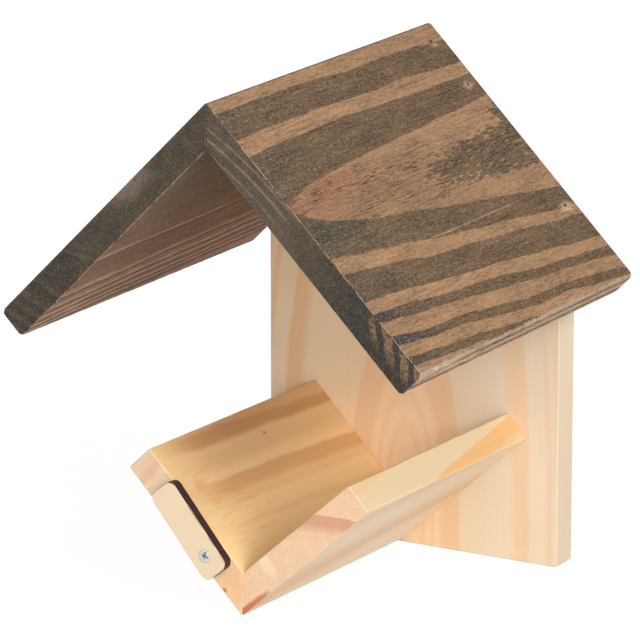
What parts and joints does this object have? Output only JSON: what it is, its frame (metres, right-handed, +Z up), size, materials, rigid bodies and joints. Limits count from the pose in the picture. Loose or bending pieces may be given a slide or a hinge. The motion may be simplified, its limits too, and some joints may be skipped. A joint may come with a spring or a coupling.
{
  "type": "peanut butter jar feeder",
  "caption": "Wall-hung wooden bird feeder: a pitched two-board roof on a gabled back board over a V cradle for a jar laid on its side, with a turn button on the cradle's front end.",
  "frame": {"origin": "bottom centre of the box around the feeder, level with the bottom edge of the back board", "axes": "+X to the right seen from the front, +Y towards the wall that the feeder hangs on, +Z up"},
  "size_m": [0.2144, 0.201, 0.2505],
  "materials": {
    "stained_pine": "planed pine with a thin grey-brown stain that shows its stripes",
    "pine": "bare planed pine",
    "plywood": "thin ply with a scorched cut edge",
    "zinc_steel": "bright zinc plate"
  },
  "bodies": {
    "feeder": {"back_board": "pine", "roof_board_left": "stained_pine", "roof_board_right": "stained_pine", "cradle_board_left": "pine", "cradle_board_right": "pine", "turn_button_screw": "zinc_steel", "roof_pins": "zinc_steel", "ridge_pins": "zinc_steel", "cradle_screws": "zinc_steel", "cradle_pins": "zinc_steel"},
    "button": {"turn_button": "plywood"}
  },
  "joints": [
    {"name": "button_turn", "type": "hinge", "parent": "feeder", "child": "button", "pos_m": [-0.02054, -0.0675, 0.03271], "axis": [0, -1, 0], "continuous": true}
  ]
}
